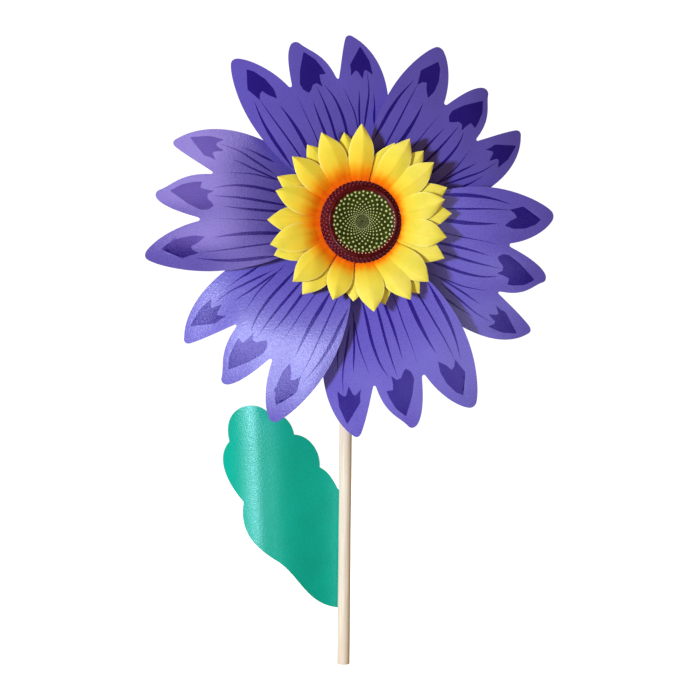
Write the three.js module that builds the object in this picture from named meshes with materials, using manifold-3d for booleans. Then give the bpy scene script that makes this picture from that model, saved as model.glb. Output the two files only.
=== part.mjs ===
// Sunflower wind spinner: a wheel of six printed film vanes with an artificial sunflower on its hub,
// turning on a pin through the top of a wooden stick that carries one film leaf.
// Millimetres. Everything is drawn in "front" axes, x to the viewer's right, y up, z towards the
// viewer, and the last lines stand it up: +Z up, front facing -Y, origin at the stick's bottom end.

import * as THREE from 'three';
import { mergeVertices } from 'three/addons/utils/BufferGeometryUtils.js';
import Module from 'manifold-3d';

const wasm = await Module();
wasm.setup();

// ---- Driving dimensions ----------------------------------------------------------------------

const GAP = 0.3; // clearance between pieces that touch

const HUB_HEIGHT = 420.4;
const STICK_RADIUS = 6;
const STICK_TOP = HUB_HEIGHT + 16;
const STICK_CHAMFER = 0.8;

const PIN_RADIUS = 2;
const PIN_BACK = -11.5;
const PIN_HEAD_RADIUS = 4.5;
const PIN_HEAD_LENGTH = 2.4;
const BORE_RADIUS = PIN_RADIUS + GAP + 0.05;

const WASHER_RADIUS = 5.5;
const WASHER_THICKNESS = 0.8;
const CAP_RADIUS = 6.5;
const CAP_BACK = -13;
const SLEEVE_RADIUS = 4.6;
const SLEEVE_FRONT = 36;

const BUSH_RADIUS = 4;
const BUSH_FLANGE_RADIUS = 6;
const BUSH_FLANGE_THICKNESS = 1;
const PLATE_RADIUS = 28;
const PLATE_THICKNESS = 2.5;
const BOSS_RADIUS = 8;
const BOSS_FRONT = 47;
const PEG_CIRCLE = 22;
const PEG_RADIUS = 2;
const PEG_LENGTH = 4.6;

const VANE_COUNT = 6;
const FIRST_VANE_ANGLE = -17.7; // degrees clockwise from the top
const VANE_THICKNESS = 0.6;
const VANE_PLANE = 41.8;
const VANE_FREE_RADIUS = 30; // the film is flat inside this
const VANE_EASE_LENGTH = 45;
const VANE_BOW = 10; // how far the film's crest stands in front of the vane plane
const VANE_CREST_RADIUS = 100;
const VANE_CREST_HALF = 69; // from the crest to where the bow is back at the vane plane
const VANE_TILT = 16; // step in height from one vane to the next where they lap
// How each hand-cut vane differs: stretched outwards and sideways from its peg, skewed so that its
// clockwise side reaches further out, and turned on the peg in degrees.
const VANE_SEATS = [
  { reach: -0.068, spread: -0.009, skew: -0.044, turn: -0.8 },
  { reach: -0.049, spread: -0.02, skew: 0.078, turn: 3.4 },
  { reach: 0.03, spread: -0.02, skew: 0.15, turn: 3.7 },
  { reach: 0.067, spread: 0.014, skew: 0.016, turn: 1.8 },
  { reach: 0.03, spread: -0.034, skew: 0.007, turn: -2.2 },
  { reach: -0.004, spread: -0.045, skew: -0.064, turn: -4.6 },
];

const CALYX_BACK = 44.8;
const CALYX_FRONT = 57.5;
const CALYX_RADIUS = 30;
const CALYX_WALL = 2;
const POST_RADIUS = 3;
const POST_BACK = 53.2;
const POST_FLANGE_RADIUS = 10;
const CLIP_RADIUS = 6.5;
const CLIP_THICKNESS = 1.3;

const PETAL_THICKNESS = 2;
const PETAL_FLAT_RADIUS = 41;
const PETAL_REACH = 92;
const PETAL_NOTCH_RADIUS = 58;
const REAR_PETAL_PLANE = 58.8; // middle of the foam sheet
const REAR_PETAL_RISE = 9;
const FRONT_PETAL_PLANE = REAR_PETAL_PLANE + PETAL_THICKNESS + GAP;
const FRONT_PETAL_RISE = 13;
// Each petal's direction, degrees clockwise from the top, and the radius of its tip.
const FRONT_PETALS = [
  [-1, 90], [29, 89], [51, 87], [75, 80.5], [99, 81], [130, 83.5], [149, 85],
  [172, 84], [201, 78], [229, 86.5], [255, 89.5], [288, 86], [311, 88.5], [334, 90],
];
const REAR_PETALS = [
  [21, 80], [42, 89], [68, 88], [82, 86.5], [113, 85.5], [141, 86], [162, 80],
  [184, 74], [219, 87.5], [247, 88], [271, 88.5], [298, 89], [325, 87], [349, 84],
];

const DOME_BACK = 62.4;
const DOME_RADIUS = 38.6;
const DOME_CREST = 77.4;
const DOME_DISH = 7;

const LEAF_THICKNESS = 0.7;
const LEAF_PLANE = -(STICK_RADIUS + GAP + LEAF_THICKNESS / 2);
const LEAF_CREST = 8.6; // how far the leaf's crest stands in front of the leaf plane
const LEAF_CREST_REACH = 62; // from the stick out to the crest
const LEAF_DROOP_REACH = 70;
const LEAF_DROOP = 0.0088; // the outer part falls back by this times the square of the distance
const LEAF_LEAN = 0.065; // the crest leans this much sideways over the leaf's height
const LEAF_MIDDLE = 150;
const STAPLE_HEIGHTS = [76, 142];
const STAPLE_HALF_WIDTH = 3.2;
const STAPLE_WIRE = 0.6;
const STAPLE_WIDTH = 0.8;
const STAPLE_TIP = -1.5;

const ROUND_SIDES = 20;
const HEAD_SIDES = 30;
const SLAB_CELL = 19;
const CURVE_STEPS = 4;

// ---- Materials -------------------------------------------------------------------------------

const finish = (color, roughness, metalness = 0) =>
  new THREE.MeshStandardMaterial({ color, roughness, metalness });

const wood = () => finish('#eee2cd', 0.75);
const steel = () => finish('#b9bcc0', 0.35, 1);
const blackPlastic = () => finish('#26262a', 0.45);
const whitePlastic = () => finish('#e8e6e0', 0.4);
const nylon = () => finish('#f1eee2', 0.5);
const purpleFilm = () => finish('#6a5bbf', 0.4);
const yellowFoam = () => finish('#f8d24b', 0.8);
const greenPlastic = () => finish('#3f7a2c', 0.45);
const domePlastic = () => finish('#4a3a1c', 0.3);
const leafFilm = () => finish('#0fa992', 0.4);

// ---- Shared shape helpers --------------------------------------------------------------------

const radians = THREE.MathUtils.degToRad;
const smooth = (t) => THREE.MathUtils.smoothstep(t, 0, 1);

function piece(name, geometry, material) {
  const mesh = new THREE.Mesh(geometry, material);
  mesh.name = name;
  return mesh;
}

// Turned shape about the z axis from [radius, z] points.
function turned(points, sides = ROUND_SIDES) {
  const profile = points.map(([radius, z]) => new THREE.Vector2(radius, z));
  return new THREE.LatheGeometry(profile, sides).rotateX(Math.PI / 2);
}

// Turned shape whose profile closes on itself, so it has a hole down its middle.
function turnedRing(points, sides = ROUND_SIDES) {
  return turned([...points, points[0]], sides);
}

function tube(inner, outer, back, front, sides = ROUND_SIDES) {
  return turnedRing([[inner, back], [outer, back], [outer, front], [inner, front]], sides);
}

function solidOf(geometry) {
  const bare = geometry.clone();
  bare.deleteAttribute('normal');
  bare.deleteAttribute('uv');
  const merged = mergeVertices(bare, 1e-4);
  return new wasm.Manifold(new wasm.Mesh({
    numProp: 3,
    vertProperties: new Float32Array(merged.attributes.position.array),
    triVerts: new Uint32Array(merged.index.array),
  }));
}

function geometryOf(solid) {
  const mesh = solid.getMesh();
  const geometry = new THREE.BufferGeometry();
  geometry.setAttribute('position', new THREE.BufferAttribute(mesh.vertProperties, 3));
  geometry.setIndex(new THREE.BufferAttribute(mesh.triVerts, 1));
  return geometry;
}

function box(low, high) {
  const size = high.map((value, axis) => value - low[axis]);
  const middle = high.map((value, axis) => (value + low[axis]) / 2);
  return new THREE.BoxGeometry(...size).translate(...middle);
}

function cylinder(radius, back, front, sides = ROUND_SIDES) {
  return turned([[0, back], [radius, back], [radius, front], [0, front]], sides);
}

// Straight prism along z through the whole depth that any sheet uses.
function prism(shape) {
  const low = 3 * LEAF_PLANE;
  const settings = { depth: 2 * DOME_CREST, bevelEnabled: false, curveSegments: CURVE_STEPS };
  return new THREE.ExtrudeGeometry(shape, settings).translate(0, 0, low);
}

// Thin slab over a rectangle whose height follows heightAt(x, y); a grid of flat cells.
function curvedSlab([left, bottom, right, top], heightAt, thickness) {
  const columns = Math.ceil((right - left) / SLAB_CELL);
  const rows = Math.ceil((top - bottom) / SLAB_CELL);
  const grid = new THREE.BoxGeometry(right - left, top - bottom, thickness, columns, rows, 1);
  grid.translate((left + right) / 2, (bottom + top) / 2, 0);
  const position = grid.attributes.position;
  for (let i = 0; i < position.count; i += 1) {
    const height = heightAt(position.getX(i), position.getY(i));
    position.setZ(i, position.getZ(i) + height);
  }
  return grid;
}

// Adds cubic curves, each [control x, y, control x, y, end x, y].
function addCurves(path, curves) {
  for (const curve of curves) {
    path.bezierCurveTo(...curve);
  }
}

function circlePoints(x, y, radius, sides) {
  const points = [];
  for (let i = 0; i < sides; i += 1) {
    const angle = (2 * Math.PI * i) / sides;
    points.push(new THREE.Vector2(x + radius * Math.cos(angle), y + radius * Math.sin(angle)));
  }
  return points;
}

function roundHole(x, y, radius) {
  return new THREE.Path(circlePoints(x, y, radius, 12));
}

// ---- Stick and the pin through it --------------------------------------------------------------

function stick() {
  const profile = [
    [0, 0],
    [STICK_RADIUS - STICK_CHAMFER, 0],
    [STICK_RADIUS, STICK_CHAMFER],
    [STICK_RADIUS, STICK_TOP - STICK_CHAMFER],
    [STICK_RADIUS - STICK_CHAMFER, STICK_TOP],
    [0, STICK_TOP],
  ];
  const points = profile.map(([radius, y]) => new THREE.Vector2(radius, y));
  let solid = solidOf(new THREE.LatheGeometry(points, ROUND_SIDES));
  const bore = cylinder(BORE_RADIUS, -2 * STICK_RADIUS, 2 * STICK_RADIUS);
  solid = solid.subtract(solidOf(bore.translate(0, HUB_HEIGHT, 0)));
  for (const slot of stapleSlots()) {
    solid = solid.subtract(solidOf(slot));
  }
  return piece('stick', geometryOf(solid), wood());
}

function pin() {
  const front = BOSS_FRONT + 2 * GAP + WASHER_THICKNESS;
  const crown = front + PIN_HEAD_LENGTH;
  const profile = [
    [0, PIN_BACK],
    [PIN_RADIUS - 0.5, PIN_BACK],
    [PIN_RADIUS, PIN_BACK + 0.5],
    [PIN_RADIUS, front],
    [PIN_HEAD_RADIUS, front],
    [PIN_HEAD_RADIUS, crown - 1],
    [PIN_HEAD_RADIUS - 1.2, crown],
    [0, crown],
  ];
  return piece('axle_pin', turned(profile), steel());
}

function rearWasher() {
  const front = -STICK_RADIUS - GAP;
  const ring = tube(BORE_RADIUS, WASHER_RADIUS, front - WASHER_THICKNESS, front);
  return piece('rear_washer', ring, steel());
}

// Push-on cap: a cup that grips the tail of the pin behind the stick.
function rearCap() {
  const front = -STICK_RADIUS - 2 * GAP - WASHER_THICKNESS;
  const profile = [
    [0, CAP_BACK],
    [CAP_RADIUS - 1.5, CAP_BACK],
    [CAP_RADIUS, CAP_BACK + 1.5],
    [CAP_RADIUS, front],
    [BORE_RADIUS, front],
    [BORE_RADIUS, PIN_BACK - GAP],
    [0, PIN_BACK - GAP],
  ];
  return piece('rear_cap', turned(profile), blackPlastic());
}

function spacerSleeve() {
  const sleeve = tube(BORE_RADIUS, SLEEVE_RADIUS, STICK_RADIUS + GAP, SLEEVE_FRONT);
  return piece('spacer_sleeve', sleeve, whitePlastic());
}

function thrustWasher() {
  const back = SLEEVE_FRONT + GAP;
  const ring = tube(BORE_RADIUS, WASHER_RADIUS, back, back + WASHER_THICKNESS);
  return piece('thrust_washer', ring, steel());
}

function headWasher() {
  const back = BOSS_FRONT + GAP;
  const ring = tube(BORE_RADIUS, WASHER_RADIUS, back, back + WASHER_THICKNESS);
  return piece('head_washer', ring, steel());
}

// ---- Leaf and its staples ----------------------------------------------------------------------

// The film lies flat behind the stick, swells towards the front, then falls back at its outer edge.
function leafHeight(x, y) {
  const out = Math.max(0, -x - STICK_RADIUS - 1);
  const reach = out - LEAF_LEAN * (y - LEAF_MIDDLE) * smooth(out / 40);
  const droop = LEAF_DROOP * Math.max(0, reach - LEAF_DROOP_REACH) ** 2;
  return LEAF_PLANE + LEAF_CREST * smooth(reach / LEAF_CREST_REACH) - droop;
}

function leafOutline() {
  const shape = new THREE.Shape();
  shape.moveTo(5.2, 53.5);
  shape.lineTo(5.2, 158);
  shape.lineTo(-6, 168);
  addCurves(shape, [
    [-12, 180, -18, 186, -24.1, 188.6],
    [-23, 203, -34, 219.5, -50.1, 220.2],
    [-52, 232, -62, 242, -77, 242.5],
    [-90, 254, -120, 248, -111.4, 213.2],
    [-122, 200, -117, 178, -97.9, 155.8],
    [-101, 130, -92, 115, -63.7, 98.2],
    [-44, 85, -35, 57, -5.5, 53.5],
  ]);
  shape.closePath();
  return shape;
}

function leaf() {
  const slab = curvedSlab([-125, 45, 15, 260], leafHeight, LEAF_THICKNESS);
  let solid = solidOf(slab).intersect(solidOf(prism(leafOutline())));
  for (const slot of stapleSlots()) {
    solid = solid.subtract(solidOf(slot));
  }
  return piece('leaf', geometryOf(solid), leafFilm());
}

// Room for the legs of both staples, through the film and into the stick.
function stapleSlots() {
  const slots = [];
  const halfWire = STAPLE_WIRE / 2 + GAP;
  const halfWidth = STAPLE_WIDTH / 2 + GAP;
  for (const height of STAPLE_HEIGHTS) {
    for (const side of [-STAPLE_HALF_WIDTH, STAPLE_HALF_WIDTH]) {
      const low = [side - halfWire, height - halfWidth, 2 * LEAF_PLANE];
      const high = [side + halfWire, height + halfWidth, STAPLE_TIP + GAP];
      slots.push(box(low, high));
    }
  }
  return slots;
}

function staple(name, height) {
  const crownFront = LEAF_PLANE - LEAF_THICKNESS / 2 - GAP;
  const crownBack = crownFront - STAPLE_WIRE;
  const outer = STAPLE_HALF_WIDTH + STAPLE_WIRE / 2;
  const inner = STAPLE_HALF_WIDTH - STAPLE_WIRE / 2;
  // Drawn with z as the shape's second coordinate, then turned upright.
  const shape = new THREE.Shape();
  shape.moveTo(-outer, crownBack);
  shape.lineTo(outer, crownBack);
  shape.lineTo(outer, STAPLE_TIP);
  shape.lineTo(inner, STAPLE_TIP);
  shape.lineTo(inner, crownFront);
  shape.lineTo(-inner, crownFront);
  shape.lineTo(-inner, STAPLE_TIP);
  shape.lineTo(-outer, STAPLE_TIP);
  shape.closePath();
  const wire = new THREE.ExtrudeGeometry(shape, { depth: STAPLE_WIDTH, bevelEnabled: false });
  wire.rotateX(Math.PI / 2).translate(0, height + STAPLE_WIDTH / 2, 0);
  return piece(name, wire, steel());
}

// ---- Hub ---------------------------------------------------------------------------------------

const bushBack = SLEEVE_FRONT + 2 * GAP + WASHER_THICKNESS;
const plateBack = bushBack + BUSH_FLANGE_THICKNESS + GAP;
const plateFront = plateBack + PLATE_THICKNESS;
const clampBack = VANE_PLANE + VANE_THICKNESS / 2 + GAP;

function vaneAngle(index) {
  return radians(FIRST_VANE_ANGLE + (360 / VANE_COUNT) * index);
}

function pegPlaces() {
  const places = [];
  for (let index = 0; index < VANE_COUNT; index += 1) {
    const angle = vaneAngle(index);
    places.push([PEG_CIRCLE * Math.sin(angle), PEG_CIRCLE * Math.cos(angle)]);
  }
  return places;
}

function hubBush() {
  const flangeFront = bushBack + BUSH_FLANGE_THICKNESS;
  const profile = [
    [BORE_RADIUS, bushBack],
    [BUSH_FLANGE_RADIUS, bushBack],
    [BUSH_FLANGE_RADIUS, flangeFront],
    [BUSH_RADIUS, flangeFront],
    [BUSH_RADIUS, BOSS_FRONT - GAP],
    [BORE_RADIUS, BOSS_FRONT - GAP],
  ];
  return piece('hub_bush', turnedRing(profile), nylon());
}

// Rear plate with the boss that the calyx snaps over and one peg for each vane.
function hubPlate() {
  const bore = BUSH_RADIUS + GAP;
  const profile = [
    [bore, plateBack],
    [PLATE_RADIUS, plateBack],
    [PLATE_RADIUS, plateFront],
    [BOSS_RADIUS, plateFront],
    [BOSS_RADIUS, BOSS_FRONT],
    [bore, BOSS_FRONT],
  ];
  let solid = solidOf(turnedRing(profile, HEAD_SIDES));
  for (const [x, y] of pegPlaces()) {
    const peg = cylinder(PEG_RADIUS, plateFront - 1, plateFront + PEG_LENGTH, 12);
    solid = solid.add(solidOf(peg.translate(x, y, 0)));
  }
  return piece('hub_plate', geometryOf(solid), whitePlastic());
}

function clampPlate() {
  const shape = new THREE.Shape(circlePoints(0, 0, PLATE_RADIUS, HEAD_SIDES));
  const middle = circlePoints(0, 0, BOSS_RADIUS + 2 * GAP, HEAD_SIDES);
  shape.holes.push(new THREE.Path(middle));
  for (const [x, y] of pegPlaces()) {
    shape.holes.push(roundHole(x, y, PEG_RADIUS + GAP));
  }
  const settings = { depth: 2, bevelEnabled: false };
  const plate = new THREE.ExtrudeGeometry(shape, settings).translate(0, 0, clampBack);
  return piece('clamp_plate', plate, whitePlastic());
}

// ---- Vanes -------------------------------------------------------------------------------------

// Height of the film over the vane's own plane: it bows towards the viewer between hub and tips, and
// it is tilted about its middle line, anticlockwise edge forward, so that it laps over its neighbour.
function vaneHeight(x, y) {
  const radius = Math.hypot(x, y);
  const angle = Math.atan2(x, y);
  const bow = VANE_BOW * (1 - ((radius - VANE_CREST_RADIUS) / VANE_CREST_HALF) ** 2);
  const tilt = (VANE_TILT * angle * VANE_COUNT) / (2 * Math.PI);
  return VANE_PLANE + smooth((radius - VANE_FREE_RADIUS) / VANE_EASE_LENGTH) * (bow - tilt);
}

// Flat outline with y along the vane's middle line and the axle at the origin: a tab round the peg,
// then the anticlockwise side, three pointed lobes with rounded tips, and the clockwise side.
function vaneOutline() {
  const tab = 9;
  const shape = new THREE.Shape();
  shape.moveTo(tab, 31);
  shape.lineTo(tab, PEG_CIRCLE);
  shape.absarc(0, PEG_CIRCLE, tab, 0, Math.PI, true);
  shape.lineTo(-tab, 31);
  addCurves(shape, [
    [-10, 42, -38, 50, -48, 67],
    [-62, 90, -74, 120, -73, 155],
    [-72.6, 168, -71, 178, -68.5, 184],
    [-66.5, 188.5, -62, 188.6, -58, 186.4],
    [-47, 181, -33, 166, -24.8, 148],
    [-24, 145.6, -21.4, 145.6, -20.9, 148.5],
    [-19, 162, -16, 178.6, -9.7, 186.6],
    [-6.7, 190.6, -2.2, 191.1, 0.4, 187.6],
    [6.5, 177, 19.4, 172, 22.6, 146],
    [22.9, 142.6, 24.8, 142.4, 25.6, 144.4],
    [31, 155, 38, 171, 44.5, 181],
    [47, 184.8, 50.6, 184.6, 53, 181],
    [63.5, 169.5, 69, 152, 68.5, 133],
    [68, 109, 58, 84, 49, 67],
    [38, 50, 10, 42, tab, 31],
  ]);
  shape.closePath();
  shape.holes.push(roundHole(0, PEG_CIRCLE, PEG_RADIUS + GAP + 0.15));
  return shape;
}

function vane(index, { reach, spread, skew, turn }) {
  const cut = new THREE.Matrix4().set(
    1 + spread, 0, 0, 0,
    skew, 1 + reach, 0, 0,
    0, 0, 1, 0,
    0, 0, 0, 1,
  );
  const cutter = prism(vaneOutline());
  cutter.translate(0, -PEG_CIRCLE, 0);
  cutter.applyMatrix4(cut);
  cutter.rotateZ(-radians(turn));
  cutter.translate(0, PEG_CIRCLE, 0);
  const slab = curvedSlab([-95, 12, 95, 216], vaneHeight, VANE_THICKNESS);
  const solid = solidOf(slab).intersect(solidOf(cutter));
  const mesh = piece(`vane_${index + 1}`, geometryOf(solid), purpleFilm());
  mesh.rotation.z = -vaneAngle(index);
  return mesh;
}

// ---- Sunflower ---------------------------------------------------------------------------------

// Moulded cup behind the petals; its socket snaps over the hub's boss and clears the pin's head.
function calyxCup() {
  const socket = BOSS_RADIUS + GAP;
  const wallBack = CALYX_FRONT - CALYX_WALL;
  const profile = [
    [POST_RADIUS + GAP, CALYX_FRONT],
    [POST_RADIUS + GAP, wallBack],
    [socket, wallBack],
    [socket, CALYX_BACK],
    [socket + 3.5, CALYX_BACK],
    [socket + 6, CALYX_BACK + 4],
    [CALYX_RADIUS - 5, wallBack - 1],
    [CALYX_RADIUS, wallBack],
    [CALYX_RADIUS, CALYX_FRONT],
  ];
  return piece('calyx_cup', turnedRing(profile, HEAD_SIDES), greenPlastic());
}

function postClip() {
  const front = CALYX_FRONT - CALYX_WALL - GAP;
  const ring = tube(POST_RADIUS + GAP, CLIP_RADIUS, front - CLIP_THICKNESS, front);
  return piece('post_clip', ring, steel());
}

// Foam bowl that a layer of petals is cut from: flat under the dome, rising steeply beside it and
// levelling off towards the petal tips.
function petalBowl(plane, rise) {
  const inside = [];
  const face = [];
  for (const radius of [1, PETAL_FLAT_RADIUS, 50, 60, 77, PETAL_REACH]) {
    const inwards = (PETAL_REACH - radius) / (PETAL_REACH - PETAL_FLAT_RADIUS);
    const height = plane + rise * (1 - Math.min(1, inwards) ** 2);
    inside.unshift([radius, height + PETAL_THICKNESS / 2]);
    face.push([radius, height - PETAL_THICKNESS / 2]);
  }
  return turnedRing([...face, ...inside], HEAD_SIDES);
}

function polar(angle, radius) {
  return [radius * Math.sin(angle), radius * Math.cos(angle)];
}

// Die-cut ring of pointed petals; neighbours part at a notch halfway between their tips.
function petalOutline(petals) {
  const count = petals.length;
  const angles = petals.map(([angle]) => radians(angle));
  const shape = new THREE.Shape();
  const between = (first, second) => {
    const step = (angles[second] - angles[first] + 2 * Math.PI) % (2 * Math.PI);
    return angles[first] + step / 2;
  };
  const start = between(count - 1, 0) - 2 * Math.PI;
  shape.moveTo(...polar(start, PETAL_NOTCH_RADIUS));
  let notchBefore = start;
  petals.forEach(([, tip], index) => {
    const middle = angles[index];
    const notchAfter = index === count - 1 ? start + 2 * Math.PI : between(index, index + 1);
    const bulge = PETAL_NOTCH_RADIUS + 0.45 * (tip - PETAL_NOTCH_RADIUS);
    const left = polar(middle + 0.95 * (notchBefore - middle), bulge);
    const right = polar(middle + 0.95 * (notchAfter - middle), bulge);
    shape.quadraticCurveTo(...left, ...polar(middle, tip));
    shape.quadraticCurveTo(...right, ...polar(notchAfter, PETAL_NOTCH_RADIUS));
    notchBefore = notchAfter;
  });
  shape.holes.push(roundHole(0, 0, POST_RADIUS + GAP));
  return shape;
}

function petalLayer(name, petals, plane, rise) {
  const solid = solidOf(petalBowl(plane, rise)).intersect(solidOf(prism(petalOutline(petals))));
  return piece(name, geometryOf(solid), yellowFoam());
}

// Hollow moulded seed head: steep beaded side, crest ring and a dished face.
function seedDome() {
  const wall = 2;
  const profile = [
    [0, DOME_CREST - DOME_DISH],
    [12, DOME_CREST - 0.86 * DOME_DISH],
    [22, DOME_CREST - 0.5 * DOME_DISH],
    [29.2, DOME_CREST - 1],
    [32, DOME_CREST],
    [35, DOME_CREST - 2.2],
    [37.5, DOME_CREST - 7.5],
    [DOME_RADIUS, DOME_BACK + 3],
    [DOME_RADIUS, DOME_BACK],
    [DOME_RADIUS - wall, DOME_BACK],
    [35.4, DOME_CREST - 8],
    [32, DOME_CREST - 3],
    [22, DOME_CREST - wall - 0.5 * DOME_DISH],
    [12, DOME_CREST - wall - 0.86 * DOME_DISH],
    [0, DOME_CREST - wall - DOME_DISH],
  ];
  return piece('seed_dome', turned(profile.reverse(), HEAD_SIDES), domePlastic());
}

// Flanged post glued under the dome; it draws dome and petals against the calyx.
function domePost() {
  const flangeFront = DOME_CREST - 2 - DOME_DISH - GAP;
  const profile = [
    [0, POST_BACK],
    [POST_RADIUS, POST_BACK],
    [POST_RADIUS, flangeFront - 2],
    [POST_FLANGE_RADIUS, flangeFront - 2],
    [POST_FLANGE_RADIUS, flangeFront],
    [0, flangeFront],
  ];
  return piece('dome_post', turned(profile), blackPlastic());
}

// ---- Assembly ----------------------------------------------------------------------------------

function wheel() {
  const group = new THREE.Group();
  group.add(hubBush(), hubPlate(), clampPlate());
  VANE_SEATS.forEach((seat, index) => group.add(vane(index, seat)));
  group.add(calyxCup(), postClip(), domePost(), seedDome());
  group.add(petalLayer('petals_rear', REAR_PETALS, REAR_PETAL_PLANE, REAR_PETAL_RISE));
  group.add(petalLayer('petals_front', FRONT_PETALS, FRONT_PETAL_PLANE, FRONT_PETAL_RISE));
  return group;
}

function axle() {
  const group = new THREE.Group();
  group.add(pin(), rearWasher(), rearCap(), spacerSleeve(), thrustWasher(), headWasher());
  return group;
}

const front = new THREE.Group();
front.rotation.x = Math.PI / 2;
const atHub = new THREE.Group();
atHub.position.y = HUB_HEIGHT;
atHub.add(axle(), wheel());
front.add(stick(), atHub, leaf());
front.add(staple('leaf_staple_lower', STAPLE_HEIGHTS[0]));
front.add(staple('leaf_staple_upper', STAPLE_HEIGHTS[1]));

const windSpinner = new THREE.Group();
windSpinner.add(front);

export default windSpinner;
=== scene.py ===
"""Looks of the sunflower wind spinner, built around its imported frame.

Shapes are drawn in "front" axes in millimetres, x to the viewer's right, y up and s towards the
viewer, and at() turns them into the row frame in metres.
"""

import math

import bpy
import numpy as np
from mathutils import Matrix, Vector
from mathutils.geometry import delaunay_2d_cdt


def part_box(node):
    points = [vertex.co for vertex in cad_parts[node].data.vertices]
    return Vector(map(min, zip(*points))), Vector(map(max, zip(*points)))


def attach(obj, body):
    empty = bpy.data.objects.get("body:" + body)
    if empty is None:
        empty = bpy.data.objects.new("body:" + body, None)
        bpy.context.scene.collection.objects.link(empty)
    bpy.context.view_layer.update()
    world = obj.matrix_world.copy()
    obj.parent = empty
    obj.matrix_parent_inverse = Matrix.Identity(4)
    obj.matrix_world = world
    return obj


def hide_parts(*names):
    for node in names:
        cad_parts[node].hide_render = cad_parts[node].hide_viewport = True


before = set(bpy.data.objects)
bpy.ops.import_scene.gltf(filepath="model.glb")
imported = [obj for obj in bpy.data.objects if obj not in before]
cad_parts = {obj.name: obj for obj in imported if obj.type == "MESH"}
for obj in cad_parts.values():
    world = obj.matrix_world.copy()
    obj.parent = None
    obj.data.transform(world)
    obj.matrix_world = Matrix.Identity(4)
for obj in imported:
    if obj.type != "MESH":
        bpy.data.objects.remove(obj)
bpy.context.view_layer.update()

HUB = 420.4                # height of the axle, mm
PEG = 22                   # distance of the vanes' pegs from the axle, mm
FIRST_VANE_ANGLE = -17.7   # degrees clockwise from the top; the others follow every 60 degrees
RANDOM = np.random.default_rng(11)


# ---- Small helpers ----

def at(x, y, s):
    """Front axes in millimetres to the row frame in metres; takes numbers or arrays."""
    return np.stack(np.broadcast_arrays(np.asarray(x) * 0.001, np.asarray(s) * -0.001,
                                        np.asarray(y) * 0.001), axis=-1)


def smooth(t):
    """Ease from 0 to 1."""
    t = np.clip(t, 0, 1)
    return t * t * (3 - 2 * t)


def linear(color):
    """sRGB 0 to 255 to linear."""
    c = np.asarray(color, float) / 255
    return tuple(np.where(c <= 0.04045, c / 12.92, ((c + 0.055) / 1.055) ** 2.4))


def polar(angle, radius):
    """Point at an angle in degrees clockwise from the top."""
    a = np.radians(angle)
    return radius * np.sin(a), radius * np.cos(a)


def new_object(name, data):
    obj = bpy.data.objects.new(name, data)
    bpy.context.scene.collection.objects.link(obj)
    return obj


def new_mesh(name, points, faces):
    mesh = bpy.data.meshes.new(name)
    mesh.from_pydata([tuple(p) for p in points], [], faces)
    return mesh


def mesh_piece(name, points, faces, materials, body, replaces=(), face_material=None,
               sharp=45, attributes=None):
    """New object that rides on a body and stands for the CAD nodes it replaces."""
    mesh = new_mesh(name, points, faces)
    mesh.validate()
    for material in materials:
        mesh.materials.append(material)
    if face_material is not None:
        mesh.polygons.foreach_set("material_index", np.asarray(face_material, np.int32))
    mesh.polygons.foreach_set("use_smooth", np.ones(len(mesh.polygons), bool))
    if sharp:
        mesh.set_sharp_from_angle(angle=math.radians(sharp))
    for key, values in (attributes or {}).items():
        layer = mesh.attributes.new(key, "FLOAT", "POINT")
        layer.data.foreach_set("value", np.asarray(values, np.float32))
    mesh.update()
    obj = new_object(name, mesh)
    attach(obj, body)
    if replaces:
        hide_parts(*replaces)
    return obj


def turned(profile, sides=96, closed=False, centre=(0, HUB)):
    """Points and faces of a shape turned about a centre from (radius, s) pairs, back to front."""
    points, faces, rows = [], [], []
    for radius, s in profile:
        if radius < 1e-6:
            rows.append([len(points)] * sides)
            points.append(at(*centre, s))
            continue
        start = len(points)
        rows.append(list(range(start, start + sides)))
        for i in range(sides):
            x, y = polar(360 * i / sides, radius)
            points.append(at(centre[0] + x, centre[1] + y, s))
    pairs = list(zip(rows, rows[1:]))
    if closed:
        pairs.append((rows[-1], rows[0]))
    for low, high in pairs:
        for i in range(sides):
            j = (i + 1) % sides
            face = [low[i], low[j], high[j], high[i]]
            face = [v for k, v in enumerate(face) if v != face[k - 1]]
            if len(face) > 2:
                faces.append(face[::-1])
    return points, faces


def rounded(profile, radius):
    """Softens the corners of a closed profile with small fillets."""
    out = []
    count = len(profile)
    for i, point in enumerate(profile):
        here = np.array(point, float)
        before = np.array(profile[i - 1], float) - here
        after = np.array(profile[(i + 1) % count], float) - here
        reach = min(radius, 0.45 * np.hypot(*before), 0.45 * np.hypot(*after))
        a = here + before / np.hypot(*before) * reach
        b = here + after / np.hypot(*after) * reach
        for t in np.linspace(0, 1, 4):
            out.append(tuple((1 - t) ** 2 * a + 2 * t * (1 - t) * here + t * t * b))
    return out


def bezier(start, curves, steps=14):
    """Cubic curves, each (control x, y, control x, y, end x, y), as points without the start."""
    out = []
    p0 = np.array(start, float)
    for c in curves:
        p1, p2, p3 = (np.array(c[i:i + 2], float) for i in (0, 2, 4))
        for t in np.arange(1, steps + 1) / steps:
            u = 1 - t
            out.append(u ** 3 * p0 + 3 * u * u * t * p1 + 3 * u * t * t * p2 + t ** 3 * p3)
        p0 = p3
    return out


def inside(points, polygon):
    """Whether each point lies in the polygon."""
    x, y = points[:, 0][:, None], points[:, 1][:, None]
    x0, y0 = polygon[:, 0], polygon[:, 1]
    x1, y1 = np.roll(x0, -1), np.roll(y0, -1)
    rise = np.where(y1 == y0, 1e-9, y1 - y0)
    crosses = ((y0 > y) != (y1 > y)) & (x < (x1 - x0) * (y - y0) / rise + x0)
    return crosses.sum(1) % 2 == 1


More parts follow.
